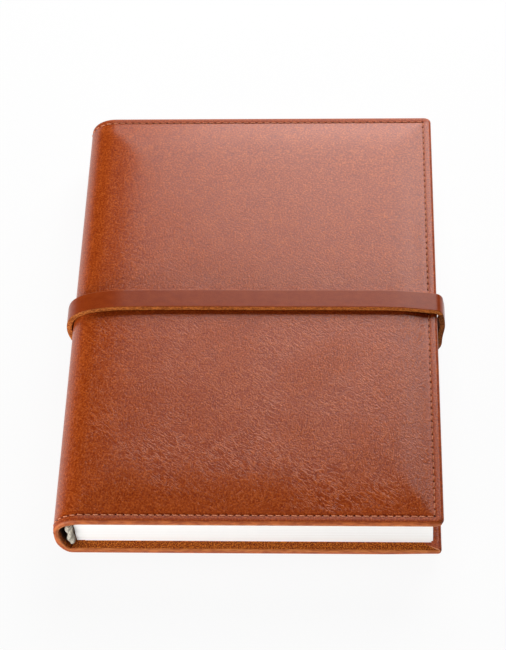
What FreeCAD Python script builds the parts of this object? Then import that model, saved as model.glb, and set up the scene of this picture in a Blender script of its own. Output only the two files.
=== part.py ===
import FreeCAD, Part
import Sketcher
import math
import os

# An A5 journal in a soft, padded leather case that is sewn round its edge, closed by a plain
# leather band. It lies on its back cover with the spine on -X, the fore-edge on +X, the tail
# on -Y and the head on +Y. Z = 0 is the underside of the band, which is what it rests on.

SIZES = [
    # The text block
    ("page_width", 148.0, "A5 page, spine to fore-edge"),
    ("page_length", 210.0, "A5 page, tail to head"),
    ("block_thickness", 19.2, "all the leaves together"),
    ("endpaper_thickness", 0.25, "leaf pasted on each cover"),
    ("rest_gap", 0.3, "air between the closed cover and the first leaf"),
    # The case
    ("square_ends", 4.0, "cover beyond the pages at head and tail"),
    ("square_fore", 3.8, "cover beyond the pages at the fore-edge"),
    ("leather_thickness", 1.6, "outer hide"),
    ("lining_thickness", 1.5, "suede inside the covers and the spine"),
    ("board_thickness", 0.8, "stiffener let into the skived hide"),
    ("board_border", 1.6, "hide left whole round the stiffener"),
    ("corner_radius", 3.0, "cover corners at the fore-edge"),
    ("spine_depth", 8.2, "round spine behind the pages, and its corner radius"),
    ("turn_in", 8.5, "hide folded over each cover's fore-edge"),
    ("mitre_rise", 4.6, "how far the turn-in's slanted end comes in from the edge"),
    # The padded panel of each cover
    ("crown_height", 2.3, "rise of the panel above the sewn edge"),
    ("sewn_border", 4.5, "flat border that carries the seam"),
    ("slope_ends", 13.0, "width of the panel's slope at head and tail"),
    ("slope_fore", 9.5, "width of the panel's slope at the fore-edge"),
    ("slope_spine", 12.0, "width of the panel's slope beside the spine"),
    ("seam_inset", 3.3, "from a cover's edge to the middle of its seam"),
    ("thread_width", 0.6, "waxed thread"),
    ("thread_rise", 0.25, "what stands above the hide"),
    # Where the case bends
    ("hinge_back", 3.5, "hinge line, behind the leaves' folded edge"),
    ("hinge_gap", 3.5, "bending hide on the cover's side of the leaves' folded edge"),
    ("fold_clearance", 0.55, "between the fixed spine and the cover when it is folded right back"),
    # The spine of the text block
    ("mull_thickness", 0.5, "cloth glued over the sewn folds"),
    ("mull_length", 180.0, "cloth from tail to head"),
    ("band_width", 2.8, "head and tail bands, behind the pages"),
    ("band_reach", 2.6, "how far they stand past the ends of the pages"),
    ("band_drop", 4.5, "from the first leaf down to their upper ends"),
    ("band_seat", 1.7, "how far they lie along the spine"),
    ("band_clearance", 0.2, "between them and the lining's lower bend"),
    # The closing band
    ("strap_width", 9.5, "along the spine"),
    ("strap_thickness", 2.4, "one layer of raw-edged hide"),
    ("strap_clearance", 0.3, "between the band and the padded panels"),
    ("strap_gap", 1.4, "air between it and the spine or the fore-edge"),
]

doc = FreeCAD.newDocument("Journal")
sheet = doc.addObject("Spreadsheet::Sheet", "Sizes")
for row, (alias, size, meaning) in enumerate(SIZES, start=1):
    sheet.set(f"A{row}", meaning)
    sheet.set(f"B{row}", str(size))
    sheet.setAlias(f"B{row}", alias)
doc.recompute()

# Places in plan. LEAF_X is the leaves' folded edge, behind which the case turns round.
COVER_WIDTH = "(Sizes.spine_depth + Sizes.page_width + Sizes.square_fore)"
COVER_LENGTH = "(Sizes.page_length + 2 * Sizes.square_ends)"
FORE_X = f"({COVER_WIDTH} / 2)"
SPINE_X = f"(-{COVER_WIDTH} / 2)"
LEAF_X = f"({SPINE_X} + Sizes.spine_depth)"
PANEL_X = f"({LEAF_X} + Sizes.hinge_gap)"
TURN_X = f"({FORE_X} - Sizes.turn_in)"
END_Y = f"({COVER_LENGTH} / 2)"
CORNER_Y = f"({END_Y} - Sizes.corner_radius)"

# Heights, from the band up through the back cover, the pages and the front cover.
BACK_OUTER = "(Sizes.strap_thickness + Sizes.strap_clearance + Sizes.crown_height)"
BACK_LINING = f"({BACK_OUTER} + Sizes.leather_thickness)"
BACK_INNER = f"({BACK_LINING} + Sizes.lining_thickness)"
BLOCK_BOTTOM = f"({BACK_INNER} + Sizes.endpaper_thickness)"
BLOCK_TOP = f"({BLOCK_BOTTOM} + Sizes.block_thickness)"
FRONT_PAPER = f"({BLOCK_TOP} + Sizes.rest_gap)"
FRONT_INNER = f"({FRONT_PAPER} + Sizes.endpaper_thickness)"
FRONT_LINING = f"({FRONT_INNER} + Sizes.lining_thickness)"
FRONT_OUTER = f"({FRONT_LINING} + Sizes.leather_thickness)"
STRAP_TOP = f"({FRONT_OUTER} + {BACK_OUTER})"

# The hinge line of the front cover lies between the hide and its lining.
HINGE_LINE_X = f"({LEAF_X} - Sizes.hinge_back)"
HINGE_LINE_Z = FRONT_LINING

# The round spine. Its fixed part ends below the folded-back cover, and below the upper bend.
LOW_BEND_Z = f"({BACK_OUTER} + Sizes.spine_depth)"
HIGH_BEND_Z = f"({FRONT_OUTER} - Sizes.spine_depth)"
CASE_THICKNESS = "(Sizes.leather_thickness + Sizes.lining_thickness)"
FOLDED_Z = f"(2 * {HINGE_LINE_Z} - {FRONT_OUTER} - Sizes.crown_height - Sizes.fold_clearance)"
FLEX_Z = f"min({FOLDED_Z}; {HIGH_BEND_Z} - Sizes.fold_clearance)"


def value(expression):
    """What an expression comes to with the sheet's present sizes, in millimetres."""
    return float(sheet.evalExpression(expression))


def new_body(name):
    body = doc.addObject("PartDesign::Body", name)
    body.Label = name
    return body


def new_sketch(body, role, offset, *outlines):
    """A sketch on one of the body's origin planes, moved along that plane's normal."""
    sketch = body.newObject("Sketcher::SketchObject", f"{body.Name}_sketch")
    plane = next(f for f in body.Origin.OriginFeatures if f.Role == role)
    sketch.AttachmentSupport = [(plane, "")]
    sketch.MapMode = "FlatFace"
    sketch.setExpression(".AttachmentOffset.Base.z", offset)
    for outline in outlines:
        draw_outline(sketch, outline)
    doc.recompute()
    return sketch


def draw_outline(sketch, corners):
    """A closed outline. A corner is (x, y), or (x, y, cx, cy) where an arc about (cx, cy) follows."""
    places = [FreeCAD.Vector(value(c[0]), value(c[1]), 0) for c in corners]
    edges = []
    for number, corner in enumerate(corners):
        here, there = places[number], places[(number + 1) % len(places)]
        if len(corner) == 2:
            edges.append((sketch.addGeometry(Part.LineSegment(here, there)), 1, 2))
            continue
        centre = FreeCAD.Vector(value(corner[2]), value(corner[3]), 0)
        circle = Part.Circle(centre, FreeCAD.Vector(0, 0, 1), (here - centre).Length)
        turns_left = (here - centre).cross(there - centre).z > 0
        first, last = (here, there) if turns_left else (there, here)
        angles = [math.atan2(p.y - centre.y, p.x - centre.x) for p in (first, last)]
        arc = sketch.addGeometry(Part.ArcOfCircle(circle, *angles))
        edges.append((arc, 1, 2) if turns_left else (arc, 2, 1))
        bind(sketch, "DistanceX", arc, 3, corner[2])
    for number, corner in enumerate(corners):
        edge, start, end = edges[number]
        following = edges[(number + 1) % len(edges)]
        sketch.addConstraint(Sketcher.Constraint("Coincident", edge, end, following[0], following[1]))
        bind(sketch, "DistanceX", edge, start, corner[0])
        bind(sketch, "DistanceY", edge, start, corner[1])


def bind(sketch, kind, edge, point, expression):
    """Holds a point at a distance from the sketch's origin that the sheet gives."""
    rule = sketch.addConstraint(Sketcher.Constraint(kind, -1, 1, edge, point, value(expression)))
    sketch.setExpression(f"Constraints[{rule}]", expression)


def extrude(body, kind, sketch, length, both_ways=False, flip=False):
    """A Pad or a Pocket of the sketch."""
    before = volume(body)
    feature = body.newObject(f"PartDesign::{kind}", f"{body.Name}_{kind.lower()}")
    feature.Profile = sketch
    feature.SideType = "Symmetric" if both_ways else "One side"
    feature.Reversed = flip
    feature.setExpression("Length", length)
    doc.recompute()
    check_change(body, feature, before, adds=kind == "Pad")


def loft(body, kind, base, top):
    """An Additive or a Subtractive loft with flat sides between two sketches."""
    before = volume(body)
    feature = body.newObject(f"PartDesign::{kind}Loft", f"{body.Name}_{kind.lower()}_loft")
    feature.Profile = base
    feature.Sections = [top]
    feature.Ruled = True
    doc.recompute()
    check_change(body, feature, before, adds=kind == "Additive")


def volume(body):
    return body.Shape.Volume if body.Tip else 0.0


def check_change(body, feature, before, adds):
    """Stops the build if a feature did nothing, or pointed away from the solid it should cut."""
    change = volume(body) - before
    if abs(change) < 1e-3 or (change > 0) != adds:
        raise RuntimeError(f"{feature.Name} changed {body.Name} by {change:.4f} mm3")


def along_spine(name, *outlines, length=COVER_LENGTH):
    """A body whose section across the spine runs evenly to both ends."""
    body = new_body(name)
    extrude(body, "Pad", new_sketch(body, "XZ_Plane", "0", *outlines), length, both_ways=True)
    return body


def rectangle(low_x, low_y, high_x, high_y):
    return [(low_x, low_y), (high_x, low_y), (high_x, high_y), (low_x, high_y)]


def round_fore_corners(body):
    """Cuts the cover's two fore-edge corners round, through everything in the body."""
    left = f"({FORE_X} - Sizes.corner_radius)"
    tail, head = f"-{CORNER_Y}", CORNER_Y
    waste = [
        [(left, f"-{END_Y}"), (FORE_X, f"-{END_Y}"), (FORE_X, tail, left, tail)],
        [(FORE_X, END_Y), (left, END_Y, left, head), (FORE_X, head)],
    ]
    sketch = new_sketch(body, "XY_Plane", "0", *waste)
    extrude(body, "Pocket", sketch, f"2 * {STRAP_TOP}", both_ways=True)


# The folded part of the hide inside each cover, with its slanted ends, and the stiffener.
TURN_IN_OUTLINE = [
    (FORE_X, f"-{END_Y}"),
    (FORE_X, END_Y),
    (TURN_X, f"{END_Y} - Sizes.mitre_rise"),
    (TURN_X, f"Sizes.mitre_rise - {END_Y}"),
]
BOARD_OUTLINE = rectangle(
    f"{PANEL_X} + Sizes.board_border",
    f"Sizes.board_border - {END_Y}",
    f"{FORE_X} - Sizes.board_border",
    f"{END_Y} - Sizes.board_border",
)
PANEL_BASE = rectangle(
    f"{PANEL_X} + Sizes.board_border",
    f"Sizes.sewn_border - {END_Y}",
    f"{FORE_X} - Sizes.sewn_border",
    f"{END_Y} - Sizes.sewn_border",
)
PANEL_TOP = rectangle(
    f"{PANEL_X} + Sizes.board_border + Sizes.slope_spine",
    f"Sizes.sewn_border + Sizes.slope_ends - {END_Y}",
    f"{FORE_X} - Sizes.sewn_border - Sizes.slope_fore",
    f"{END_Y} - Sizes.sewn_border - Sizes.slope_ends",
)
ENDPAPER_OUTLINE = rectangle(
    PANEL_X,
    "-Sizes.page_length / 2",
    f"{LEAF_X} + Sizes.page_width",
    "Sizes.page_length / 2",
)


def finish_hide(body, lining_side, outer, sign):
    """Adds a cover's turn-in and padded panel. sign is +1 for the front, whose outside is up."""
    outside_up = sign > 0
    board_top = f"{lining_side} + {sign} * Sizes.board_thickness"
    extrude(body, "Pad", new_sketch(body, "XY_Plane", lining_side, TURN_IN_OUTLINE),
            "Sizes.lining_thickness", flip=outside_up)
    round_fore_corners(body)
    panel_rise(body, "Additive", outer, sign)
    extrude(body, "Pocket", new_sketch(body, "XY_Plane", lining_side, BOARD_OUTLINE),
            "Sizes.board_thickness", flip=outside_up)
    panel_rise(body, "Subtractive", board_top, sign)


def panel_rise(body, kind, base_height, sign):
    base = new_sketch(body, "XY_Plane", base_height, PANEL_BASE)
    top = new_sketch(body, "XY_Plane", f"{base_height} + {sign} * Sizes.crown_height", PANEL_TOP)
    loft(body, kind, base, top)


def make_cover_leather():
    """The back cover and the fixed part of the round spine, one hide."""
    inside_x = f"({SPINE_X} + Sizes.leather_thickness)"
    body = along_spine("cover_leather", [
        (LEAF_X, BACK_OUTER),
        (FORE_X, BACK_OUTER),
        (FORE_X, BACK_LINING),
        (LEAF_X, BACK_LINING, LEAF_X, LOW_BEND_Z),
        (inside_x, LOW_BEND_Z),
        (inside_x, FLEX_Z),
        (SPINE_X, FLEX_Z),
        (SPINE_X, LOW_BEND_Z, LEAF_X, LOW_BEND_Z),
    ])
    finish_hide(body, BACK_LINING, BACK_OUTER, -1)


def make_cover_lining():
    """The suede that lines the back cover and the fixed part of the spine."""
    outside_x = f"({SPINE_X} + Sizes.leather_thickness)"
    inside_x = f"({SPINE_X} + {CASE_THICKNESS})"
    body = along_spine("cover_lining", [
        (LEAF_X, BACK_LINING),
        (FORE_X, BACK_LINING),
        (FORE_X, BACK_INNER),
        (LEAF_X, BACK_INNER, LEAF_X, LOW_BEND_Z),
        (inside_x, LOW_BEND_Z),
        (inside_x, FLEX_Z),
        (outside_x, FLEX_Z),
        (outside_x, LOW_BEND_Z, LEAF_X, LOW_BEND_Z),
    ])
    round_fore_corners(body)
    extrude(body, "Pocket", new_sketch(body, "XY_Plane", BACK_LINING, TURN_IN_OUTLINE),
            "Sizes.lining_thickness", flip=True)


def make_bending_strip(name, outside, thickness):
    """The sheet's bending part, from the spine's side round to the front cover."""
    outer_x, outer_z = f"({SPINE_X} + {outside})", f"({FRONT_OUTER} - {outside})"
    inner_x, inner_z = f"({outer_x} + {thickness})", f"({outer_z} - {thickness})"
    along_spine(name, [
        (outer_x, FLEX_Z),
        (inner_x, FLEX_Z),
        (inner_x, HIGH_BEND_Z, LEAF_X, HIGH_BEND_Z),
        (LEAF_X, inner_z),
        (PANEL_X, inner_z),
        (PANEL_X, outer_z),
        (LEAF_X, outer_z, LEAF_X, HIGH_BEND_Z),
        (outer_x, HIGH_BEND_Z),
    ])


def make_front_cover_leather():
    body = along_spine("front_cover_leather",
                       rectangle(PANEL_X, FRONT_LINING, FORE_X, FRONT_OUTER))
    finish_hide(body, FRONT_LINING, FRONT_OUTER, +1)


def make_front_cover_lining():
    body = along_spine("front_cover_lining",
                       rectangle(PANEL_X, FRONT_INNER, FORE_X, FRONT_LINING))
    round_fore_corners(body)
    extrude(body, "Pocket", new_sketch(body, "XY_Plane", FRONT_INNER, TURN_IN_OUTLINE),
            "Sizes.lining_thickness", flip=True)


def make_sheet(name, height, thickness, outline, flip=False):
    """A flat sheet in plan, from the height given upwards, or downwards if flipped."""
    body = new_body(name)
    extrude(body, "Pad", new_sketch(body, "XY_Plane", height, outline), thickness, flip=flip)


def make_padding(name, base_height, sign):
    """The felt that fills the panel between the stiffener and the hide."""
    body = new_body(name)
    panel_rise(body, "Additive", base_height, sign)


def make_seam_thread(name, height, flip=False):
    """One cover's lock-stitched thread along head, fore-edge and tail, as a plain bead."""
    half_thread = "Sizes.thread_width / 2"
    outer_x = f"({FORE_X} - Sizes.seam_inset + {half_thread})"
    outer_y = f"({END_Y} - Sizes.seam_inset + {half_thread})"
    inner_x, inner_y = f"({outer_x} - Sizes.thread_width)", f"({outer_y} - Sizes.thread_width)"
    make_sheet(name, height, "Sizes.thread_rise", [
        (PANEL_X, f"-{outer_y}"),
        (outer_x, f"-{outer_y}"),
        (outer_x, outer_y),
        (PANEL_X, outer_y),
        (PANEL_X, inner_y),
        (inner_x, inner_y),
        (inner_x, f"-{inner_y}"),
        (PANEL_X, f"-{inner_y}"),
    ], flip)


def make_page_block():
    along_spine("page_block",
                rectangle(LEAF_X, BLOCK_BOTTOM, f"{LEAF_X} + Sizes.page_width", BLOCK_TOP),
                length="Sizes.page_length")


def make_spine_mull():
    along_spine("spine_mull",
                rectangle(f"{LEAF_X} - Sizes.mull_thickness", BLOCK_BOTTOM, LEAF_X, BLOCK_TOP),
                length="Sizes.mull_length")


def make_end_band(name, sign):
    """The woven band at one end of the pages' spine. sign is +1 at the head, -1 at the tail."""
    body = new_body(name)
    bend_rise = f"sqrt((Sizes.spine_depth - {CASE_THICKNESS})^2 - Sizes.band_width^2)"
    bottom = f"({LOW_BEND_Z} - {bend_rise} + Sizes.band_clearance)"
    top = f"({BLOCK_TOP} - Sizes.band_drop)"
    seat_y = f"({sign} * (Sizes.page_length / 2 - Sizes.band_seat))"
    outer_y = f"({sign} * (Sizes.page_length / 2 + Sizes.band_reach))"
    low_y, high_y = (seat_y, outer_y) if sign > 0 else (outer_y, seat_y)
    outline = rectangle(f"{LEAF_X} - Sizes.band_width", low_y, LEAF_X, high_y)
    extrude(body, "Pad", new_sketch(body, "XY_Plane", bottom, outline), f"{top} - {bottom}")


def make_strap():
    """The closing band, one endless loop round the whole journal.

    Its bends are as large as the covers' sewn edges allow. An edge lies strap_gap in from the
    band's upright side and rise in from its flat side, and stays strap_clearance away.
    """
    rise = "(Sizes.crown_height + Sizes.strap_clearance)"
    both = f"(Sizes.strap_gap + {rise} - Sizes.strap_clearance)"
    squares = f"(Sizes.strap_gap^2 + {rise}^2 - Sizes.strap_clearance^2)"
    bend = f"({both} + sqrt({both}^2 - {squares}))"
    inner_width = f"({FORE_X} + Sizes.strap_gap)"
    inside = loop_outline(inner_width, "Sizes.strap_thickness",
                          f"({STRAP_TOP} - Sizes.strap_thickness)", bend)
    outside = loop_outline(f"({inner_width} + Sizes.strap_thickness)", "0", STRAP_TOP,
                           f"({bend} + Sizes.strap_thickness)")
    along_spine("strap", outside, inside, length="Sizes.strap_width")


def loop_outline(half_width, bottom, top, radius):
    """A rectangle with four round corners, anticlockwise from the left end of its bottom."""
    right, left = f"({half_width} - {radius})", f"({radius} - {half_width})"
    low, high = f"({bottom} + {radius})", f"({top} - {radius})"
    return [
        (left, bottom),
        (right, bottom, right, low),
        (half_width, low),
        (half_width, high, right, high),
        (right, top),
        (left, top, left, high),
        (f"-{half_width}", high),
        (f"-{half_width}", low, left, low),
    ]


make_cover_leather()
make_cover_lining()
make_bending_strip("hinge_leather", "0", "Sizes.leather_thickness")
make_bending_strip("hinge_lining", "Sizes.leather_thickness", "Sizes.lining_thickness")
make_front_cover_leather()
make_front_cover_lining()
make_sheet("back_board", BACK_LINING, "Sizes.board_thickness", BOARD_OUTLINE, flip=True)
make_sheet("front_board", FRONT_LINING, "Sizes.board_thickness", BOARD_OUTLINE)
make_padding("back_padding", f"{BACK_LINING} - Sizes.board_thickness", -1)
make_padding("front_padding", f"{FRONT_LINING} + Sizes.board_thickness", +1)
make_seam_thread("back_seam_thread", BACK_OUTER, flip=True)
make_seam_thread("front_seam_thread", FRONT_OUTER)
make_sheet("back_endpaper", BACK_INNER, "Sizes.endpaper_thickness", ENDPAPER_OUTLINE)
make_sheet("front_endpaper", FRONT_PAPER, "Sizes.endpaper_thickness", ENDPAPER_OUTLINE)
make_page_block()
make_spine_mull()
make_end_band("head_band", +1)
make_end_band("tail_band", -1)
make_strap()

doc.recompute()
for item in doc.Objects:
    if "Invalid" in item.State or "Error" in item.State:
        raise RuntimeError(f"{item.Label} could not be built: {item.State}")
bodies = [item for item in doc.Objects if item.TypeId == "PartDesign::Body"]
for body in bodies:
    if body.Shape.isNull() or not body.Shape.isValid() or len(body.Shape.Solids) != 1:
        raise RuntimeError(f"{body.Label} is not one sound solid")

os.makedirs("parts", exist_ok=True)
for body in bodies:
    body.Shape.exportStep(f"parts/{body.Label}.step")
    print(f"{body.Label:20s} {body.Shape.Volume:12.2f} mm3")
print(f"hinge line at x {value(HINGE_LINE_X):.2f}, z {value(HINGE_LINE_Z):.2f} mm")
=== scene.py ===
import bmesh
import bpy
import math
import numpy
from mathutils import Matrix, Vector, noise


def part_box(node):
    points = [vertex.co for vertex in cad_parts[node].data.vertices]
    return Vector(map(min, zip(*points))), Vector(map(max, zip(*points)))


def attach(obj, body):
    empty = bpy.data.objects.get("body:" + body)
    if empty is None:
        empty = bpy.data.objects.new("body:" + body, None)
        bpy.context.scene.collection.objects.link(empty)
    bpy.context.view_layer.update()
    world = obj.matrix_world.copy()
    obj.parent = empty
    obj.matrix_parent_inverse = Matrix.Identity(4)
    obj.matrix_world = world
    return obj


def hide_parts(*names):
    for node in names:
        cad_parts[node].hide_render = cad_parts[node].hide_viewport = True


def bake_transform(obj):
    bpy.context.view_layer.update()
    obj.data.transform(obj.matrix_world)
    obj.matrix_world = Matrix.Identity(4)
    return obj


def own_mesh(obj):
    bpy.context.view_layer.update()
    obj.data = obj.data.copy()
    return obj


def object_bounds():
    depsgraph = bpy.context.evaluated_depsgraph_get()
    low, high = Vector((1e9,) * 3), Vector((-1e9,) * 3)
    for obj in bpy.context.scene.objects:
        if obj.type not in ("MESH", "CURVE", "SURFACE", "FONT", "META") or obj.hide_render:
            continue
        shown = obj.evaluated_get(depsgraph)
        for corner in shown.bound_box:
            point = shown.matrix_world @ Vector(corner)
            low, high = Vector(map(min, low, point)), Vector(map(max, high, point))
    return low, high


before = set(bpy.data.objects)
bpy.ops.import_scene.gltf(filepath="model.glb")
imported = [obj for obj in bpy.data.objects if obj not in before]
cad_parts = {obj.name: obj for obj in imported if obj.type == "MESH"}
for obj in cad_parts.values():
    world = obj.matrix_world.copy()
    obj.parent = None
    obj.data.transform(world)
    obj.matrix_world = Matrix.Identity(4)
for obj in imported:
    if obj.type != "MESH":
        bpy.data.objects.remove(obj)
cad_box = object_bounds()

# THE ROOM
# The journal lies on a pale table top. A large soft light stands behind it to the right and a
# weaker one in front, and a long lens looks down on its tail.

scene = bpy.context.scene
scene.view_settings.view_transform = "Standard"


class Wire:
    """A socket of a node tree. Arithmetic adds Math nodes, and make adds any other node."""

    def __init__(self, tree, socket=None):
        self.tree, self.socket = tree, socket

    def make(self, kind, settings=(), inputs=(), output=0):
        """Adds a node, with its settings first and then its inputs. Gives one of its outputs."""
        node = self.tree.nodes.new("ShaderNode" + kind)
        for name, setting in dict(settings).items():
            if name == "stops":
                ramp = node.color_ramp.elements
                while len(ramp) < len(setting):
                    ramp.new(1.0)
                for element, (position, colour) in zip(ramp, setting):
                    element.position, element.color = position, colour
            else:
                setattr(node, name, setting)
        for name, value in dict(inputs).items():
            if isinstance(value, Wire):
                self.tree.links.new(value.socket, node.inputs[name])
            else:
                node.inputs[name].default_value = value
        return Wire(self.tree, node.outputs[output])

    def maths(self, operation, *others):
        return self.make("Math", {"operation": operation}, enumerate((self, *others)))

    def __add__(self, other):
        return self.maths("ADD", other)

    def __sub__(self, other):
        return self.maths("SUBTRACT", other)

    def __rsub__(self, other):
        return self.make("Math", {"operation": "SUBTRACT"}, {0: other, 1: self})

    def __mul__(self, other):
        return self.maths("MULTIPLY", other)

    __radd__, __rmul__ = __add__, __mul__

    def part(self, number):
        """One part of a vector: 0 is x, 1 is y and 2 is z."""
        return self.make("SeparateXYZ", inputs={0: self}, output=number)

    def between(self, low, high):
        """0 up to low and 1 from high on, with a smooth step between them."""
        settings = {"interpolation_type": "SMOOTHSTEP", "clamp": True}
        return self.make("MapRange", settings, {"Value": self, "From Min": low, "From Max": high})

    def mixed(self, low, high):
        """The colour low where this wire is 0, and high where it is 1."""
        return self.make("Mix", {"data_type": "RGBA"}, {0: self, 6: low, 7: high}, 2)


def dye(red, green, blue):
    """A colour as a sample card gives it, from 0 to 255, in the light units that a shader takes."""
    return (*((part / 255) ** 2.2 for part in (red, green, blue)), 1.0)


def new_material(name):
    """A material and the wire that its nodes start from."""
    material = bpy.data.materials.new(name)
    material.use_nodes = True
    return material, Wire(material.node_tree)


WHITE = (1, 1, 1, 1)
ROOM_LEVEL = 0.03
TABLE_SHADOW = 0.07
TABLE_GREY = 0.93
TABLE_REACH = 12.0

world = bpy.data.worlds.new("studio")
world.use_nodes = True
world.node_tree.nodes["Background"].inputs["Color"].default_value = (*[ROOM_LEVEL] * 3, 1)
scene.world = world

paint, blank = new_material("table_paint")
seen = blank.make("LightPath", output="Is Camera Ray").maths(
    "MAXIMUM", blank.make("LightPath", output="Is Glossy Ray")).maths(
    "MAXIMUM", blank.make("LightPath", output="Is Transmission Ray"))
grain = blank.make("TexNoise", inputs={"Scale": 30.0, "Detail": 2.0})
matt = blank.make("BsdfDiffuse", inputs={"Color": grain.mixed((*[TABLE_GREY] * 3, 1), WHITE)})
glow = blank.make("Emission", inputs={"Color": WHITE})
surface = blank.make("MixShader", inputs={0: seen * (1 - TABLE_SHADOW), 1: matt, 2: glow})
paint.node_tree.links.new(surface.socket, paint.node_tree.nodes["Material Output"].inputs[0])

bm = bmesh.new()
bmesh.ops.create_grid(bm, x_segments=1, y_segments=1, size=TABLE_REACH)
table = bpy.data.objects.new("table_top", bpy.data.meshes.new("table_top"))
bm.to_mesh(table.data)
bm.free()
table.data.materials.append(paint)
table.location.z = cad_box[0].z
scene.collection.objects.link(table)


def round_the_journal(azimuth, elevation):
    """The direction out from the journal. Azimuth 0 is past its tail and 90 past its fore-edge."""
    a, e = math.radians(azimuth), math.radians(elevation)
    return Vector((math.sin(a) * math.cos(e), -math.cos(a) * math.cos(e), math.sin(e)))


def soft_light(name, azimuth, elevation, distance, width, height, power):
    """A soft rectangular lamp that shines on the journal."""
    lamp = bpy.data.lights.new(name, "AREA")
    lamp.shape = "RECTANGLE"
    lamp.size, lamp.size_y, lamp.energy = width, height, power
    light = bpy.data.objects.new(name, lamp)
    out = round_the_journal(azimuth, elevation)
    light.location = out * distance
    light.rotation_euler = (-out).to_track_quat("-Z", "Y").to_euler()
    light.visible_camera = False
    scene.collection.objects.link(light)


soft_light("window", 164, 35.5, 0.9, 0.72, 0.72, 10.4)
soft_light("front_fill", -42, 8, 1.3, 1.2, 0.3, 18.0)

# The lens in millimetres, the direction in degrees, and the distance and the aim in metres.
LENS = 106.1
VIEW_AZIMUTH, VIEW_ELEVATION, VIEW_ROLL = 4.72, 54.63, -3.82
VIEW_DISTANCE = 0.8623
AIM = Vector((-0.0010, 0.0051, 0.0087))

camera = bpy.data.objects.new("camera", bpy.data.cameras.new("camera"))
camera.data.lens = LENS
back = round_the_journal(VIEW_AZIMUTH, VIEW_ELEVATION)
level = (-back).to_track_quat("-Z", "Y").to_matrix().to_4x4()
camera.matrix_world = (Matrix.Translation(AIM + back * VIEW_DISTANCE) @ level
                       @ Matrix.Rotation(math.radians(VIEW_ROLL), 4, "Z"))
scene.collection.objects.link(camera)
scene.camera = camera

# THE LEAVES
# One sewn block of plain white A5 leaves, in thin gatherings that are folded at the spine and
# trimmed flush on the other three sides. Its back is slightly rounded to the case.

# Pieces are shaped in millimetres, and their sizes are given in them.
MM = 0.001


def corners(node):
    """A CAD node's lowest and highest corner, in millimetres."""
    return [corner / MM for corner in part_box(node)]


def make_piece(name, bm, material, sharp_angle=38):
    """Makes an object of the shared frame, in metres, of a mesh shaped in millimetres."""
    bmesh.ops.recalc_face_normals(bm, faces=bm.faces)
    bmesh.ops.scale(bm, vec=(MM, MM, MM), verts=bm.verts)
    mesh = bpy.data.meshes.new(name)
    bm.to_mesh(mesh)
    bm.free()
    mesh.shade_smooth()
    mesh.set_sharp_from_angle(angle=math.radians(sharp_angle))
    mesh.materials.append(material)
    piece = bpy.data.objects.new(name, mesh)
    scene.collection.objects.link(piece)
    return piece


def finish_surface(material, blank, height, constants, **varying):
    """Sets the shader's fixed sockets, links those that vary, and adds a bump, height in mm."""
    shader = material.node_tree.nodes["Principled BSDF"]
    for name, value in constants.items():
        shader.inputs[name].default_value = value
    bump = blank.make("Bump", inputs={"Height": height, "Distance": MM, "Strength": 1.0})
    for name, wire in {"Normal": bump, **varying}.items():
        material.node_tree.links.new(wire.socket, shader.inputs[name.replace("_", " ")])


def place_in_mm(blank):
    """Object coordinates in millimetres."""
    settings = {"operation": "SCALE"}
    place = blank.make("TexCoord", output="Object")
    return blank.make("VectorMath", settings, {"Vector": place, "Scale": 1 / MM})


def speckle(place, size, detail=2.0, stretch=(1, 1, 1), **more):
    """Noise whose grains are about size millimetres across, longer where stretch is over 1."""
    squeeze = [1 / (size * part) for part in stretch]
    fitted = place.make("VectorMath", {"operation": "MULTIPLY"}, {0: place, 1: squeeze})
    inputs = {"Vector": fitted, "Scale": 1.0, "Detail": detail, **more}
    return place.make("TexNoise", inputs=inputs)


paper, blank = new_material("paper")
place = place_in_mm(blank)
tooth = speckle(place, 0.35)
leaf_edges = speckle(place, 0.9, stretch=(500, 500, 0.35))
tone = leaf_edges.between(0.25, 0.6).mixed(dye(246, 245, 242), dye(254, 254, 252))
finish_surface(paper, blank, tooth * 0.01 + leaf_edges * 0.02,
               {"Roughness": 0.9, "Specular IOR Level": 0.2}, Base_Color=tone)

GATHERINGS = 16
# How far up a gathering, and how deep the groove between two is there.
GROOVE_PROFILE = ((0, 1), (0.05, 0.35), (0.16, 0), (0.84, 0), (0.95, 0.35))
TRIM_GROOVE = 0.04
FOLD_GROOVE = 0.5
FORE_ROUNDING = 1.8
FORE_LEAN = 0.7
BACK_ROUNDING = 2.6

leaf_low, leaf_high = corners("page_block")


def rounded_in(distance, radius):
    """How far an edge of that radius has fallen back at this distance from it."""
    if distance >= radius:
        return 0.0
    return radius - math.sqrt(radius ** 2 - (radius - max(distance, 0.0)) ** 2)


def leaf_corner(fore, head, z, groove):
    """A corner of the leaf at one height, on the side that fore and head tell."""
    if fore:
        lean = FORE_LEAN * (leaf_high.z - z) / (leaf_high.z - leaf_low.z)
        x = leaf_high.x + lean - rounded_in(z - leaf_low.z, FORE_ROUNDING) - TRIM_GROOVE * groove
    else:
        x = leaf_low.x + rounded_in(leaf_high.z - z, BACK_ROUNDING) + FOLD_GROOVE * groove
    y = leaf_high.y - TRIM_GROOVE * groove if head else leaf_low.y + TRIM_GROOVE * groove
    return x, y, z


gathering = (leaf_high.z - leaf_low.z) / GATHERINGS
levels = [(leaf_low.z + gathering * (number + part), groove)
          for number in range(GATHERINGS)
          for part, groove in GROOVE_PROFILE]
levels.append((leaf_high.z, 1))

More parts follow.
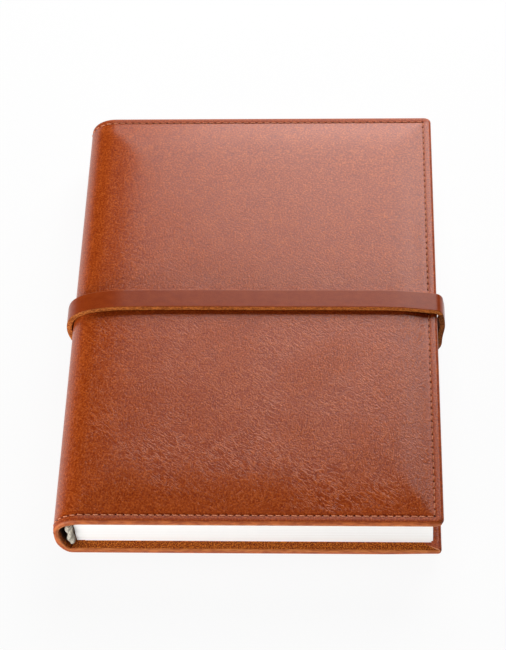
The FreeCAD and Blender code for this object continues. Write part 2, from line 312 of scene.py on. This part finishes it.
bm = bmesh.new()
bmesh.ops.create_grid(bm, x_segments=1, y_segments=1, size=1.0)
leaf, = bm.faces
for number, (z, groove) in enumerate(levels):
    if number:
        grown = bmesh.ops.extrude_face_region(bm, geom=[leaf], use_keep_orig=number == 1)
        leaf = next(item for item in grown["geom"] if isinstance(item, bmesh.types.BMFace))
    middle = leaf.calc_center_median()
    for vert, fore, head in [(vert, vert.co.x > middle.x, vert.co.y > middle.y)
                             for vert in leaf.verts]:
        vert.co = leaf_corner(fore, head, z, groove)
leaves = make_piece("leaves", bm, paper)
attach(leaves, "book")
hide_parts("page_block")

# THE MULL
# A strip of stiff open-weave cotton, glued down over the folds of the gatherings. It holds the
# sewn leaves together behind the end bands.


def paint_node(node, material):
    """Gives a CAD node's object its material."""
    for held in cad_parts[node].material_slots:
        held.material = material


YARN_PITCH = 0.9

mull_cloth, blank = new_material("mull_cloth")
place = place_in_mm(blank)
weft = (place.part(1) * (math.tau / YARN_PITCH)).maths("SINE").maths("ABSOLUTE")
warp = (place.part(2) * (math.tau / YARN_PITCH)).maths("SINE").maths("ABSOLUTE")
net = weft.maths("MAXIMUM", warp)
finish_surface(mull_cloth, blank, net * 0.12, {"Roughness": 0.95, "Specular IOR Level": 0.2},
               Base_Color=net.between(0.4, 0.9).mixed(dye(196, 190, 176), dye(228, 223, 211)))
paint_node("spine_mull", mull_cloth)

# THE END BANDS
# A cord of grey-beige cotton at each end of the spine, two soft plies twisted round each other.
# It is glued upright on the mull, in the throat of the case, and hides the ends of the sewing.

PLY_RADIUS = 1.15
PLY_OFFSET = 0.62
PLY_STARTS = (0.35, 0.85)
CORD_PITCH = 14.6
CORD_STEPS = 26
CORD_SET_BACK = 0.6
TIP_ROUNDING = 0.35
STRAND_PITCH = 0.75

cord_cotton, blank = new_material("cord_cotton")
place = place_in_mm(blank)
ply = speckle(place, 0.4, stretch=(1, 1, 2.2))
strands = place.part(0) * 1.1 + place.part(1) * 1.1 + place.part(2) * 0.9
strands = (strands * (math.tau / STRAND_PITCH)).maths("SINE")
tone = (strands * 0.2 + ply).between(0.3, 0.75)
finish_surface(cord_cotton, blank, strands * 0.08 + ply * 0.12,
               {"Roughness": 0.9, "Specular IOR Level": 0.25, "Sheen Weight": 0.3},
               Base_Color=tone.mixed(dye(176, 164, 140), dye(250, 245, 230)))

for end, outside in (("tail", -1), ("head", 1)):
    low, high = corners(end + "_band")
    height = high.z - low.z
    axis = Vector(((low.x + high.x) / 2 - CORD_SET_BACK, 0, 0))
    axis.y = outside * (max(abs(low.y), abs(high.y)) - PLY_RADIUS - PLY_OFFSET)
    bm = bmesh.new()
    for start in PLY_STARTS:
        turn = math.tau * start
        away = Vector((math.cos(turn), math.sin(turn), 0)) * PLY_OFFSET
        ring = bmesh.ops.create_circle(
            bm, cap_ends=True, segments=14, radius=PLY_RADIUS,
            matrix=Matrix.Translation(axis + away + Vector((0, 0, low.z))))
        cap = ring["verts"][0].link_faces[0]
        bmesh.ops.spin(bm, geom=[cap], cent=axis, axis=(0, 0, 1), steps=CORD_STEPS,
                       angle=math.tau * height / CORD_PITCH,
                       dvec=(0, 0, height / CORD_STEPS), use_duplicate=False)
    bmesh.ops.remove_doubles(bm, verts=bm.verts, dist=0.001)
    rims = [edge for edge in bm.edges if edge.calc_face_angle(0) > math.radians(60)]
    bmesh.ops.bevel(bm, geom=rims, offset=TIP_ROUNDING, segments=3, profile=0.5,
                    affect="EDGES", material=-1)
    band = make_piece(end + "_cord", bm, cord_cotton, 60)
    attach(band, "book")
    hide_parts(end + "_band")

# THE BOARDS
# Two sheets of thin grey millboard, cut with square corners, that stiffen the covers. Each lies
# between the hide and the suede lining, and none of it shows.

millboard, blank = new_material("millboard")
place = place_in_mm(blank)
fibres = speckle(place, 0.8, detail=4.0, stretch=(1, 3, 1))
finish_surface(millboard, blank, fibres * 0.05, {"Roughness": 0.95, "Specular IOR Level": 0.2},
               Base_Color=fibres.between(0.35, 0.65).mixed(dye(146, 138, 122), dye(184, 176, 158)))
paint_node("front_board", millboard)
paint_node("back_board", millboard)

# THE PADDING
# A layer of felt on the outside of each board, pared to a long bevel by the head, the tail and
# the fore-edge. The hide is drawn over it, which raises a soft panel on each cover.

SEWN_BORDER = 4.5
SLOPE_ENDS = 14.0
SLOPE_FORE = 9.5
SLOPE_SPINE = 20.0
SPINE_SIDE = -8.0
SPINE_SIDE_POWER = 1.6
SIDES_BLEND = 12
SHOULDER_BLEND = 3
PANEL_HIDE = 0.8
FELT_INSET = 0.4
FELT_EASE = 0.05

leaf_x = leaf_low.x
case_end = corners("cover_leather")[1].y
fore_run = corners("cover_leather")[1].x - leaf_x
front_level = corners("front_seam_thread")[0].z
back_level = corners("back_seam_thread")[1].z
crown_height = corners("front_cover_leather")[1].z - front_level
board_low, board_high = corners("front_board")


def stations(low, high, pitch, by_low=(0,), by_high=(0,)):
    """Values from low to high: those by each end as given, and between them about a pitch apart."""
    first = [low + step for step in by_low]
    last = [high - step for step in reversed(by_high)]
    count = max(1, round((last[0] - first[-1]) / pitch))
    gap = (last[0] - first[-1]) / count
    return first + [first[-1] + gap * number for number in range(1, count)] + last


def sheet_solid(columns, rows, place):
    """A sheet with two faces and its edges. place gives where a column and a row come, on the
    outer face or the inner one, and the place and depth that the point has when laid flat."""
    bm = bmesh.new()
    flat = bm.verts.layers.float_vector.new("flat")
    bmesh.ops.create_grid(bm, x_segments=len(columns) - 1, y_segments=len(rows) - 1, size=0.5)
    faces = [(False, bm.verts[:])]
    grown = bmesh.ops.extrude_face_region(bm, geom=bm.faces[:], use_keep_orig=True)
    faces.append((True, [item for item in grown["geom"]
                         if isinstance(item, bmesh.types.BMVert)]))
    for inner, verts in faces:
        for vert in verts:
            run = columns[round((vert.co.x + 0.5) * (len(columns) - 1))]
            across = rows[round((vert.co.y + 0.5) * (len(rows) - 1))]
            vert.co, vert[flat] = place(run, across, inner)
    return bm


def crown(run, across):
    """How far the padding lifts the hide, run mm from the leaves' back and across mm from their
    middle. It rises by the nearest side, with its corners and its shoulder rounded."""
    inside = ((case_end - SEWN_BORDER - abs(across)) / SLOPE_ENDS,
              (fore_run - SEWN_BORDER - run) / SLOPE_FORE,
              max(0.0, (run - SPINE_SIDE) / SLOPE_SPINE) ** SPINE_SIDE_POWER)
    if min(inside) < 0.001:
        return 0.0
    nearest = sum(part ** -SIDES_BLEND for part in inside) ** (-1 / SIDES_BLEND)
    return crown_height * nearest / (1 + nearest ** SHOULDER_BLEND) ** (1 / SHOULDER_BLEND)


felt, blank = new_material("felt")
place = place_in_mm(blank)
fibres = speckle(place, 0.6, detail=5.0)
finish_surface(felt, blank, fibres * 0.2, {"Roughness": 1.0, "Specular IOR Level": 0.1},
               Base_Color=fibres.between(0.3, 0.7).mixed(dye(150, 148, 142), dye(202, 200, 193)))


def felt_place(level, outward):
    """Where a pad's points come, between the board and the hide."""
    def place(run, across, inner):
        thickness = 0.0 if inner else max(FELT_EASE, crown(run, across) - FELT_EASE)
        depth = PANEL_HIDE - thickness
        return (leaf_x + run, across, level - outward * depth), (run, across, depth)
    return place


pad_inset = SEWN_BORDER + FELT_INSET
columns = stations(board_low.x - leaf_x, fore_run - pad_inset, 2.5)
rows = stations(pad_inset - case_end, case_end - pad_inset, 3.0)
for side, level, outward in (("front", front_level, 1), ("back", back_level, -1)):
    pad = make_piece(side + "_pad", sheet_solid(columns, rows, felt_place(level, outward)), felt)
    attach(pad, "front_cover" if side == "front" else "book")
    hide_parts(side + "_padding")

# THE LINING
# One piece of golden-brown suede that lines the whole case, from one turn-in round the spine to
# the other. It is glued to the hide, and their edges are trimmed and burnished together.

# Where a value differs between the halves of the case, 1 is the front and -1 the back.
HIDE_THICKNESS = 1.6
CASE_THICKNESS = 3.1
SPINE_HIDE = 1.3
SPINE_THICKNESS = 2.3
SPINE_MIDDLE = 20.5
SPINE_WIDTHS = (12.0, 6.5)
SPINE_STEPS = 60
CORNER_RADII = {1: 2.8, -1: 1.4}
TURN_IN = 8.5
MITRE_RISE = 4.6
MITRE_STOP = 0.8
MITRE_REACH = 125.0
SUEDE_ROUNDING = 0.5
FOLD_EASE = 0.5
FOLD_EASE_WIDTH = 2.8
THINNING_WIDTH = 8.0

spine_x = corners("cover_leather")[0].x


def spine_curve(width, drop):
    """A quarter of the spine's oval: its width and drop, the running lengths down it, and the angle
    that each comes at."""
    angles = [math.radians(90 * step / SPINE_STEPS) for step in range(SPINE_STEPS + 1)]
    runs = [0.0]
    for one, two in zip(angles, angles[1:]):
        runs.append(runs[-1] + math.hypot(width * (math.sin(two) - math.sin(one)),
                                          drop * (math.cos(two) - math.cos(one))))
    return width, drop, runs, angles


curves = {1: spine_curve(SPINE_WIDTHS[0], front_level - SPINE_MIDDLE),
          -1: spine_curve(SPINE_WIDTHS[1], SPINE_MIDDLE - back_level)}
front_spine_run, back_spine_run = (curve[2][-1] - (spine_x + curve[0] - leaf_x)
                                   for curve in curves.values())
halves = (("front", 1, front_spine_run), ("back", -1, back_spine_run))


def smooth(part):
    """0 below 0 and 1 above 1, with a smooth step between them."""
    part = min(max(part, 0.0), 1.0)
    return part * part * (3 - 2 * part)


def case_point(outward, run, across, depth):
    """A point of the case: outward is 1 on the front half and -1 on the back. run is measured from
    the leaves' back to the fore-edge, or round the spine below 0, and depth from the outer face."""
    level = front_level if outward > 0 else back_level
    width, drop, runs, angles = curves[outward]
    round_spine = spine_x + width - leaf_x - run
    if round_spine > 0:
        turn = float(numpy.interp(round_spine, runs, angles))
        out = Vector((-drop * math.sin(turn), 0, outward * width * math.cos(turn))).normalized()
        return Vector((spine_x + width - width * math.sin(turn), across,
                       SPINE_MIDDLE + outward * drop * math.cos(turn))) - out * depth
    over_x = run - (fore_run - CORNER_RADII[outward])
    over_y = abs(across) - (case_end - CORNER_RADII[outward])
    eased = run + FOLD_EASE * smooth((run - fore_run + FOLD_EASE_WIDTH) / FOLD_EASE_WIDTH)
    point = Vector((leaf_x + eased, across, level - outward * depth))
    if over_x > 0 and over_y > 0:
        pull = 1 - max(over_x, over_y) / math.hypot(over_x, over_y)
        point.x -= over_x * pull
        point.y -= math.copysign(over_y * pull, across)
    return point


def thinned(flat_thickness, spine_thickness, run):
    """A thickness that is pared down from the cover to the spine."""
    return flat_thickness + (spine_thickness - flat_thickness) * smooth(-run / THINNING_WIDTH)


def mitre_shift(across):
    """How much nearer the fore-edge the turn-in's raw edge is than at mid-height. It is mitred by
    the head and the tail."""
    mitred = min(max((abs(across) - (case_end - MITRE_RISE)) / MITRE_RISE, 0), 1)
    return (TURN_IN - MITRE_STOP) * mitred


def towards_mitre(run, across):
    """Moves a column over, so that the last one before the turn-in follows its mitred edge."""
    part = (run - MITRE_REACH) / (fore_run - TURN_IN - MITRE_REACH)
    return run + mitre_shift(across) * max(0.0, part)


def flat_run(outward, run):
    """The running length round the whole case, from the front cover to the back one."""
    return run if outward > 0 else -front_spine_run - back_spine_run - run


def suede_place(outward):
    """Where the lining's points come. Its outer face is glued to the hide."""
    def place(run, across, inner):
        run = towards_mitre(run, across)
        if inner:
            depth = (thinned(CASE_THICKNESS, SPINE_THICKNESS, run)
                     - rounded_in(case_end - abs(across), SUEDE_ROUNDING))
        else:
            depth = thinned(HIDE_THICKNESS, SPINE_HIDE, run)
        return case_point(outward, run, across, depth), (flat_run(outward, run), across, depth)
    return place


def read_flat(blank):
    """The flat place that a piece's points keep, and the run, which is the same on both halves."""
    skin = blank.make("Attribute", {"attribute_name": "flat"}, output="Vector")
    half_spine = (front_spine_run + back_spine_run) / 2
    return skin, (skin.part(0) + half_spine).maths("ABSOLUTE") - half_spine


def burnished(skin, dark, light):
    """The streaky colour of a trimmed edge that was rubbed smooth."""
    streaks = speckle(skin, 1.2, detail=3.0, stretch=(3, 1, 1))
    return streaks.between(0.3, 0.7).mixed(dark, light)


suede, blank = new_material("suede")
skin, run = read_flat(blank)
from_end = case_end - skin.part(1).maths("ABSOLUTE")
nap = speckle(skin, 0.6, detail=2.0, Roughness=0.6)
rim = 1 - from_end.between(0.2, 0.6)
# Painted shade: away from the head and the tail, the suede round the inside of the spine is mixed
# towards near-black, for the shade deep in the case's hollow spine.
painted_throat_shade = from_end.between(0.7, 4.0) * (1 - run.between(-5.0, 1.0))
fuzz = nap.make("ValToRGB", {"stops": [(0.36, dye(108, 38, 2)), (0.5, dye(178, 84, 9)),
                                       (0.64, dye(230, 134, 46))]}, {0: nap})
fuzz = (painted_throat_shade * 0.9).mixed(fuzz, dye(30, 12, 5))
burnish = burnished(skin, dye(158, 78, 26), dye(200, 118, 60))
finish_surface(suede, blank, nap * 0.2 * (1 - rim),
               {"Specular IOR Level": 0.3, "Sheen Weight": 0.06, "Sheen Roughness": 0.5},
               Base_Color=rim.mixed(fuzz, burnish), Roughness=0.95 - rim * 0.35)

# How far in from the head and the tail the rows of the mesh lie.
SUEDE_STEPS = (0, 0.12, 0.3, 0.5, 1.0, 2.0, 3.2, 4.6)
rows = stations(-case_end, case_end, 2.0, SUEDE_STEPS, SUEDE_STEPS)
for side, outward, spine_run in halves:
    columns = stations(-spine_run, 0, 0.9) + stations(1.5, fore_run - TURN_IN, 1.8)
    lining = make_piece(side + "_suede", sheet_solid(columns, rows, suede_place(outward)), suede)
    if outward > 0:
        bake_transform(lining)
        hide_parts("front_cover_lining", "hinge_lining")
    else:
        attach(lining, "book")
        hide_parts("cover_lining")

# THE HIDE
# One piece of waxed pull-up cowhide round the whole case, drawn over the padding and turned in at
# the fore-edges with mitred corners. Its head and tail are cut flush, and the cut is burnished.

CUT_ROUNDING = {1: 1.4, -1: 0.8}
FOLD_ROUNDING = 1.5
BACK_SWELL = 0.7
# How far in from the fore-edge and from the end of the spine the swell takes to rise.
SWELL_FORE, SWELL_SPINE = 25, 10
# Each wave's length, the slice of the noise that it takes, and its height.
WAVES = ((40, 7.0, 0.012), (14, 3.0, 0.003))
WAVES_INSET, WAVES_FADE = 3, 9
SEAM_INSET = 3.3
SEAM_WIDTH = 0.5
SEAM_SINK = 0.22
# How far round the spine the seam's groove starts to fade, and over what length.
GROOVE_END, GROOVE_FADE = 6, 6
STITCH = 3.25

fore_pitch = 2 * (case_end - SEAM_INSET) / round(2 * (case_end - SEAM_INSET) / STITCH)


def hide_rise(outward, run, across):
    """How far the outer face stands above the flat: padding, waves, seam and rounded edges."""
    from_end, from_fore = case_end - abs(across), fore_run - run
    padding = crown(run, across)
    waves = sum(noise.noise(Vector((run / length, across / length, slice_at))) * height
                for length, slice_at, height in WAVES)
    seam = math.exp(-((min(from_end, max(from_fore, 0)) - SEAM_INSET) / SEAM_WIDTH) ** 2)
    seam *= 1 - smooth((-run - GROOVE_END) / GROOVE_FADE)
    waves *= smooth((min(from_end, from_fore) - WAVES_INSET) / WAVES_FADE)
    rise = padding + waves - SEAM_SINK * seam
    if outward < 0:
        rise += (BACK_SWELL * (1 - padding / crown_height) * smooth(from_fore / SWELL_FORE)
                 * smooth((run + back_spine_run) / SWELL_SPINE))
    return rise - max(rounded_in(from_end, CUT_ROUNDING[outward]),
                      rounded_in(from_fore, FOLD_ROUNDING))


def hide_place(outward):
    """Where the hide's points come. Its inner face lies on the board or the lining, and from the
    turn-in's raw edge on it is the face that shows inside the cover."""
    def place(run, across, inner):
        if not inner:
            depth = -hide_rise(outward, run, across)
        elif run > fore_run - TURN_IN - 0.01:
            run += mitre_shift(across) * (fore_run - run) / TURN_IN
            depth = CASE_THICKNESS - max(rounded_in(case_end - abs(across), SUEDE_ROUNDING),
                                         rounded_in(fore_run - run, FOLD_ROUNDING))
        else:
            run = towards_mitre(run, across)
            if run > board_low.x - leaf_x and abs(across) < board_high.y:
                depth = PANEL_HIDE - crown(run, across)
            else:
                depth = thinned(HIDE_THICKNESS, SPINE_HIDE, run)
        return case_point(outward, run, across, depth), (flat_run(outward, run), across, depth)
    return place


hide, blank = new_material("pull_up_hide")
skin, run = read_flat(blank)
across, depth = skin.part(1), skin.part(2)
from_end = case_end - across.maths("ABSOLUTE")
end_row = from_end - SEAM_INSET
fore_row = fore_run - SEAM_INSET - run
mottle = speckle(skin, 5.0, detail=3.0, Roughness=0.6)
grain = speckle(skin, 0.8, detail=2.0, Roughness=0.6)
tone = mottle * 0.18 + grain * 0.82
wax = tone.make("ValToRGB", {"stops": [(0.3, dye(134, 46, 12)), (0.5, dye(171, 71, 23)),
                                       (0.7, dye(211, 103, 44))]}, {0: tone})


def creases(turn, width, length):
    """Fine folds that run about one way, turn degrees from the run, as heights from 0 to 1."""
    turned = skin.make("VectorRotate", {"rotation_type": "Z_AXIS"},
                       {"Vector": skin, "Angle": math.radians(turn)})
    folds = speckle(turned, width, detail=2.0, stretch=(length, 1, 1),
                    Roughness=0.55, Distortion=0.35)
    return 1 - (folds - 0.5).maths("ABSOLUTE").between(0.0, 0.065)


patches = speckle(skin, 30.0, detail=1.0)
handled = (1 - across.between(-75, 85)) * (run.between(-10, 120) * 0.45 + 0.55) * 0.8 + 0.2
drawn = handled * end_row.between(0.2, 3.0) * fore_row.between(0.2, 3.0)
drawn = drawn * (speckle(skin, 11.0, detail=1.0).between(0.3, 0.65) * 0.35 + 0.65)
folds = patches.between(0.3, 0.7).mixed(creases(-78, 1.1, 3.0), creases(38, 1.35, 3.5)) * drawn
# Painted shade and painted highlight: on the handled hide the colour is darkened between the crease
# ridges and lightened on them, as light falling across the folds would show them.
wax = ((drawn - folds) * 0.2).mixed(wax, dye(104, 32, 10))
wax = (folds * 0.45).mixed(wax, dye(222, 120, 68))


def needle_holes(beside, along, pitch, slope):
    """Short slits on a seam line, a stitch apart, at a slant across it."""
    step = ((along * (1 / pitch) + 0.5).maths("FRACT") - 0.5) * pitch
    length = (step + beside * slope) * math.sqrt(0.5)
    width = (step - beside * slope) * math.sqrt(0.5)
    return (1 - length.maths("ABSOLUTE").between(0.3, 0.56)) * (
        1 - width.maths("ABSOLUTE").between(0.1, 0.28))


end_holes = needle_holes(end_row, fore_row, STITCH, across.maths("SIGN"))
fore_holes = needle_holes(fore_row, across + case_end - SEAM_INSET, fore_pitch, 1.0)
holes = end_holes.maths("MAXIMUM", fore_holes)
holes = holes * fore_row.between(-0.8, -0.7) * end_row.between(-0.8, -0.7)
holes = holes * (1 - depth.between(0.8, 1.2))

rim = 1 - from_end.between(0.55, 0.9)
# Painted shade: a thin darker line just inside the burnished rim, where the rounded edge turns down
# away from the light.
painted_rim_shade = (1 - from_end.between(1.0, 1.4)) * (1 - rim)
wax = (painted_rim_shade * 0.15).mixed(wax, dye(122, 46, 18))
wax = rim.mixed(wax, burnished(skin, dye(150, 66, 20), dye(196, 102, 46)))
mitre = (across.maths("ABSOLUTE") - (case_end - MITRE_RISE)) * (1 / MITRE_RISE)
from_turn_in = run - (fore_run - TURN_IN + (TURN_IN - MITRE_STOP) * mitre.between(0.0, 1.0))
raw_edge = depth.between(HIDE_THICKNESS + 0.1, HIDE_THICKNESS + 0.3)
raw_edge = raw_edge * (1 - from_turn_in.between(0.2, 0.6))
wax = raw_edge.mixed(wax, dye(222, 138, 88))
dullness = 0.28 + mottle * 0.02 + (1 - from_end.between(2.6, 3.8)) * 0.24 + holes * 0.5
# Painted shade: the needle holes are mixed towards near-black brown in the colour, for the shade
# down in them. They are also rougher, and the bump sinks them a little.
finish_surface(hide, blank, folds * 0.065 + grain * (handled * 0.1 + 0.03) - holes * 0.3,
               {"Specular IOR Level": 0.35}, Roughness=dullness,
               Base_Color=(holes * 0.85).mixed(wax, dye(60, 18, 6)))

# How far in from each edge the rows and columns of the mesh lie.
HEM_STEPS = (0, 0.1, 0.3, 0.6, 0.95, 1.3, 1.8, 2.4, 2.9, 3.3, 3.7, 4.2, 4.8, 5.6, 6.8)
rows = stations(-case_end, case_end, 1.5, HEM_STEPS, HEM_STEPS)
for side, outward, spine_run in halves:
    columns = (stations(-spine_run, 0, 0.75) + stations(1.0, fore_run - TURN_IN - 0.03, 1.5)
               + stations(fore_run - TURN_IN, fore_run, 1.5, by_high=HEM_STEPS))
    cover = make_piece(side + "_hide", sheet_solid(columns, rows, hide_place(outward)), hide)
    if outward > 0:
        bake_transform(cover)
        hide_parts("front_cover_leather", "hinge_leather")
    else:
        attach(cover, "book")
        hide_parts("cover_leather")

# THE ENDPAPERS
# A single leaf of plain white paper pasted inside each cover, level with the leaves. It hides the
# edges of the turned-in hide and gives the cover a clean inner face.

paint_node("front_endpaper", paper)
paint_node("back_endpaper", paper)

# THE SEAMS
# One line of lockstitch in waxed tan thread along the head, the fore-edge and the tail of each
# cover and round both ends of the spine. It sews the hide to the lining, with slanted stitches.

THREAD_LENGTH = 2.5
THREAD_WIDTH = 0.46
THREAD_SLANT = 0.22
THREAD_SWAY = 0.5
THREAD_SINK = 0.02
END_ROW_OUT = 0.15
FORE_ROW_OUT = 0.1

waxed_thread, blank = new_material("waxed_thread")
place = place_in_mm(blank)
twist = speckle(place, 0.3, detail=2.0)
finish_surface(waxed_thread, blank, twist * 0.08, {"Specular IOR Level": 0.4, "Roughness": 0.5},
               Base_Color=twist.between(0.3, 0.7).mixed(dye(196, 108, 66), dye(244, 166, 124)))


def add_stitch(bm, outward, run, across, along_fore):
    """One stitch of thread that lies on the seam, centred at a place of the case."""
    centre = case_point(outward, run, across, THREAD_SINK)
    before = case_point(outward, run - 0.2, across, THREAD_SINK)
    over = (centre - before).normalized()
    up = over.cross(Vector((0, 1, 0)))
    if along_fore:
        along, side = Vector((0, 1, 0)), -over
    else:
        along, side = over, Vector((0, 1, 0))
    turned = Matrix((along, side, up)).transposed().to_4x4()
    made = bmesh.ops.create_icosphere(bm, subdivisions=2, radius=1.0)
    for vert in made["verts"]:
        vert.co.y += THREAD_SWAY * math.sin(math.pi * vert.co.x)
    size = Matrix.Diagonal((THREAD_LENGTH / 2, THREAD_WIDTH / 2, THREAD_WIDTH / 2, 1))
    slant = Matrix.Rotation(-THREAD_SLANT, 4, "Z")
    bmesh.ops.transform(bm, matrix=Matrix.Translation(centre) @ turned @ slant @ size,
                        verts=made["verts"])


seam_run, seam_across = fore_run - SEAM_INSET, case_end - SEAM_INSET
fore_stitches = round(2 * seam_across / fore_pitch)
for side, outward, spine_run in halves:
    bm = bmesh.new()
    for number in range(int((seam_run + spine_run) / STITCH)):
        run = seam_run - STITCH * (number + 0.5)
        for end in (-1, 1):
            add_stitch(bm, outward, run, end * (seam_across + END_ROW_OUT), False)
    for number in range(fore_stitches):
        across = fore_pitch * (number + 0.5) - seam_across
        add_stitch(bm, outward, seam_run + FORE_ROW_OUT, across, True)
    seam = make_piece(side + "_seam", bm, waxed_thread, 80)
    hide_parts(side + "_seam_thread")
    if outward > 0:
        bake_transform(seam)
    else:
        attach(seam, "book")

# THE CLOSING BAND
# A strip of thick vegetable-tanned hide, bent into a loop whose ends are butted and glued under
# the back cover. It is plain and closely fitted, and its cut sides are left raw.

BAND_THICKNESS = 2.4
BAND_ROUNDING = 0.35
BUTT_GAP = 0.05
BAND_SWAY = 0.35
SWAY_LENGTH = 60

# The band's outer face, across and up: under the back cover, up the fore-edge, over the front
# cover and down the spine.
BAND_LINE = (
    (0, 0), (30, 0), (52, 0), (65, 0.05), (72, 0.6), (78, 1.75), (81.8, 3.5), (83.3, 7.1),
    (83.5, 11.5), (83.7, 14.8), (84.1, 18.2), (84.3, 21.6), (84.05, 25.0), (83.55, 28.1),
    (82.95, 30.95), (81.35, 33.05), (78.6, 33.95), (74.9, 34.45), (70.2, 35.15), (64, 35.87),
    (57, 36.13), (50, 36.2), (25, 36.2), (0, 36.2), (-25, 36.2), (-50, 36.2), (-60, 36.05),
    (-67.2, 35.1), (-73.2, 33.5), (-77.9, 30.8), (-81.0, 27.4), (-82.7, 23.0), (-83.2, 18.6),
    (-82.9, 14.7), (-82.2, 11.4), (-81.2, 8.2), (-79.0, 4.4), (-76.2, 2.1), (-73, 1.2),
    (-68, 0.5), (-60, 0.1), (-45, 0), (-20, 0))

band_edge = corners("strap")[1].y


def through(points, steps):
    """A smooth closed line through the points, as a list of closely spaced ones."""
    line = []
    count = len(points)
    for number in range(count):
        a, b, c, d = (Vector(points[(number + shift) % count]) for shift in (-1, 0, 1, 2))
        for step in range(steps):
            t = step / steps
            line.append(0.5 * (2 * b + (c - a) * t + (2 * a - 5 * b + 4 * c - d) * t * t
                               + (3 * b - a - 3 * c + d) * t ** 3))
    return line + [line[0]]


band_line = through(BAND_LINE, 6)
band_runs = [0.0]
for one, two in zip(band_line, band_line[1:]):
    band_runs.append(band_runs[-1] + (two - one).length)


def band_place(run, across, inner):
    """Where the band's points come. Its two ends meet, a hair apart, at the first point."""
    number = band_runs.index(run)
    last = len(band_line) - 1
    before = band_line[number - 1 if number else last - 1]
    after = band_line[number + 1 if number < last else 1]
    along = (after - before).normalized()
    out = Vector((along.y, -along.x))
    rounding = rounded_in(band_edge - abs(across), BAND_ROUNDING)
    depth = BAND_THICKNESS - rounding if inner else rounding
    apart = {0: BUTT_GAP, last: -BUTT_GAP}.get(number, 0)
    point = band_line[number] - out * depth + along * apart
    sway = noise.noise(Vector((run / SWAY_LENGTH, 2.5, 1.5))) * BAND_SWAY
    return (point.x, across + sway, point.y), (run, across, depth)


band_hide, blank = new_material("band_hide")
skin = blank.make("Attribute", {"attribute_name": "flat"}, output="Vector")
side_cut = skin.part(1).maths("ABSOLUTE").between(band_edge - 0.3, band_edge - 0.12)
mottle = speckle(skin, 2.6, detail=4.0, stretch=(1.6, 1, 1), Roughness=0.6)
fleck = speckle(skin, 0.45, detail=2.0)
grain_side = (mottle * 0.5 + fleck * 0.5).between(0.2, 0.8).mixed(
    dye(135, 51, 19), dye(167, 73, 32))
raw = speckle(skin, 0.5, detail=3.0, stretch=(1.6, 1, 1)).between(0.32, 0.68).mixed(
    dye(122, 60, 20), dye(198, 116, 54))
# Painted shade: the band's inner, flesh face is coloured dark brown, for the shade inside the loop
# against the cover. It is also rougher and more bumped, as a flesh side is.
flesh_and_painted_shade = skin.part(2).between(BAND_THICKNESS - 0.4, BAND_THICKNESS - 0.1) * (1 - side_cut)
grain_side = flesh_and_painted_shade.mixed(grain_side, dye(74, 36, 16))
finish_surface(band_hide, blank, mottle * 0.03 + fleck * (0.02 + side_cut * 0.1 + flesh_and_painted_shade * 0.1),
               {"Specular IOR Level": 0.2}, Base_Color=side_cut.mixed(grain_side, raw),
               Roughness=0.29 + side_cut * 0.5 + flesh_and_painted_shade * 0.6)

# How far in from each cut side the rows of the mesh lie.
BAND_STEPS = (0, 0.05, 0.12, 0.22, 0.36, 0.7, 1.6)
rows = stations(-band_edge, band_edge, 1.1, BAND_STEPS, BAND_STEPS)
band = make_piece("closing_band", sheet_solid(band_runs, rows, band_place), band_hide)
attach(band, "strap")
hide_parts("strap")
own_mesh(band)
